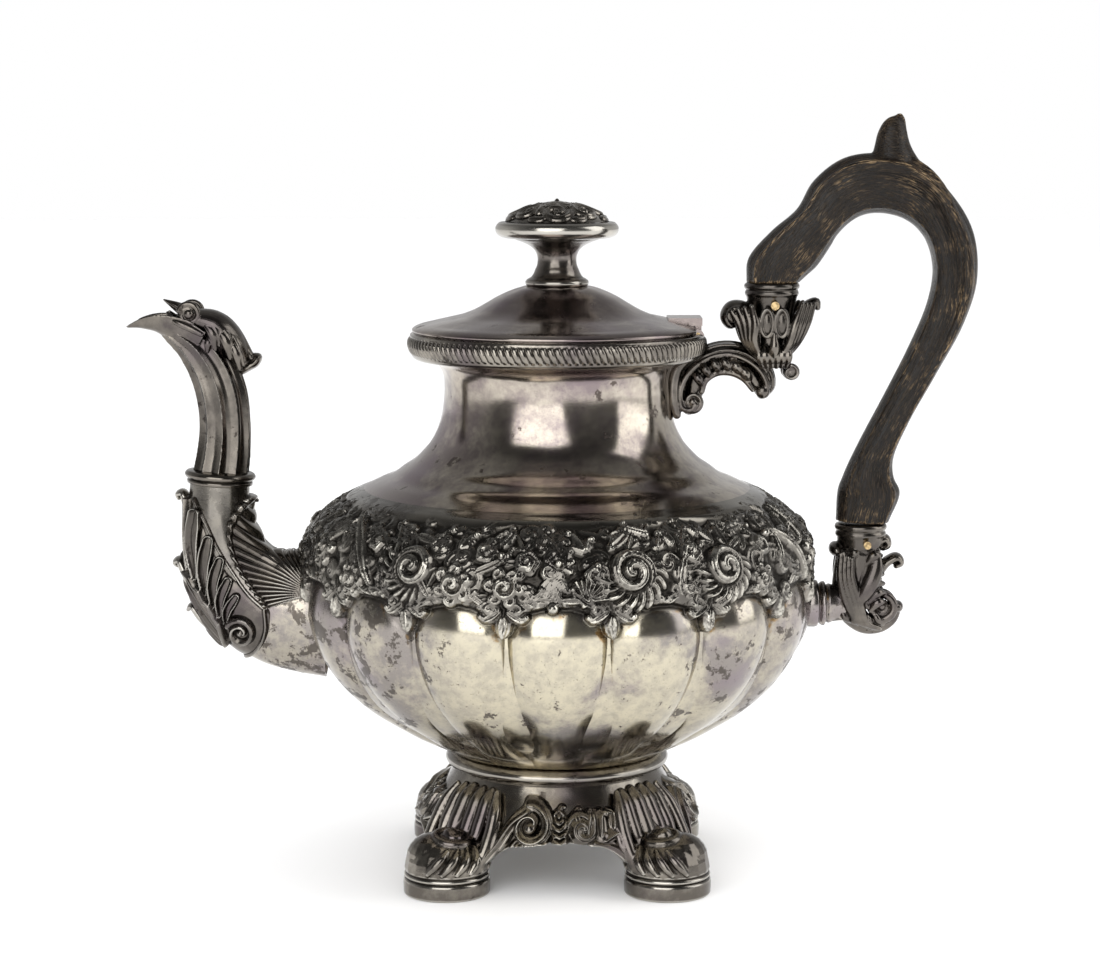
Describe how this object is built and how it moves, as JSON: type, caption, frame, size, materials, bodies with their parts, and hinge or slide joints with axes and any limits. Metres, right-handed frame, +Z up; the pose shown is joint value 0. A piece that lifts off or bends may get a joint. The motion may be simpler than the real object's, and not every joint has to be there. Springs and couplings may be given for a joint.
{
  "type": "teapot",
  "caption": "Antique silver teapot on four scroll feet, with melon-lobed bowl, chased band, beaked spout, hinged domed lid and carved dark wooden handle.",
  "frame": {"origin": "on the pot's axis, at the surface that the four foot pads stand on; the spout and handle reach almost equally far from it", "axes": "+Z up, +X from the pot's axis towards the handle, the spout points to -X, and the lid's hinge axis runs along Y"},
  "size_m": [0.2651, 0.164, 0.2387],
  "materials": {
    "body_silver": "polished silver, worn and spotted with tarnish",
    "neck_silver": "polished silver under a warm grey tarnish",
    "lid_silver": "polished silver under a warm brown tarnish",
    "chased_silver": "chased silver with near-black recesses",
    "cast_silver": "cast silver, dark tarnish in the recesses",
    "ebonised_wood": "ebonised fruitwood, satin, worn brown on the edges",
    "pin_brass": "dull brass"
  },
  "bodies": {
    "pot": {"bowl": "body_silver", "shoulder_band": "chased_silver", "neck": "neck_silver", "gadroon_rim": "cast_silver", "base_ring": "cast_silver", "foot_skirt": "cast_silver", "leg_front_spout": "cast_silver", "leg_front_handle": "cast_silver", "leg_back_spout": "cast_silver", "leg_back_handle": "cast_silver", "foot_pad_front_spout": "cast_silver", "foot_pad_front_handle": "cast_silver", "foot_pad_back_spout": "cast_silver", "foot_pad_back_handle": "cast_silver", "spout_lower": "cast_silver", "spout_collar": "cast_silver", "spout_upper": "cast_silver", "spout_crest": "cast_silver", "spout_acanthus": "cast_silver", "spout_fan_leaf": "cast_silver", "spout_strainer": "body_silver", "upper_scroll_bracket": "cast_silver", "upper_handle_socket": "cast_silver", "wood_handle": "ebonised_wood", "upper_handle_pin": "pin_brass", "lower_handle_pin": "pin_brass", "lower_handle_socket": "cast_silver", "lower_handle_stub": "cast_silver", "hinge_body_leaf": "body_silver", "hinge_pin": "pin_brass"},
    "lid": {"hinge_lid_leaf": "lid_silver", "lid_dome": "lid_silver", "lid_bezel": "lid_silver", "finial_stem": "cast_silver", "finial_button": "cast_silver", "finial_stud": "pin_brass", "finial_washer": "pin_brass", "finial_nut": "pin_brass"}
  },
  "joints": [
    {"name": "lid_hinge", "type": "hinge", "parent": "pot", "child": "lid", "pos_m": [0.0438, 0, 0.1706], "axis": [0, 1, 0], "range_deg": [0, 68]}
  ]
}
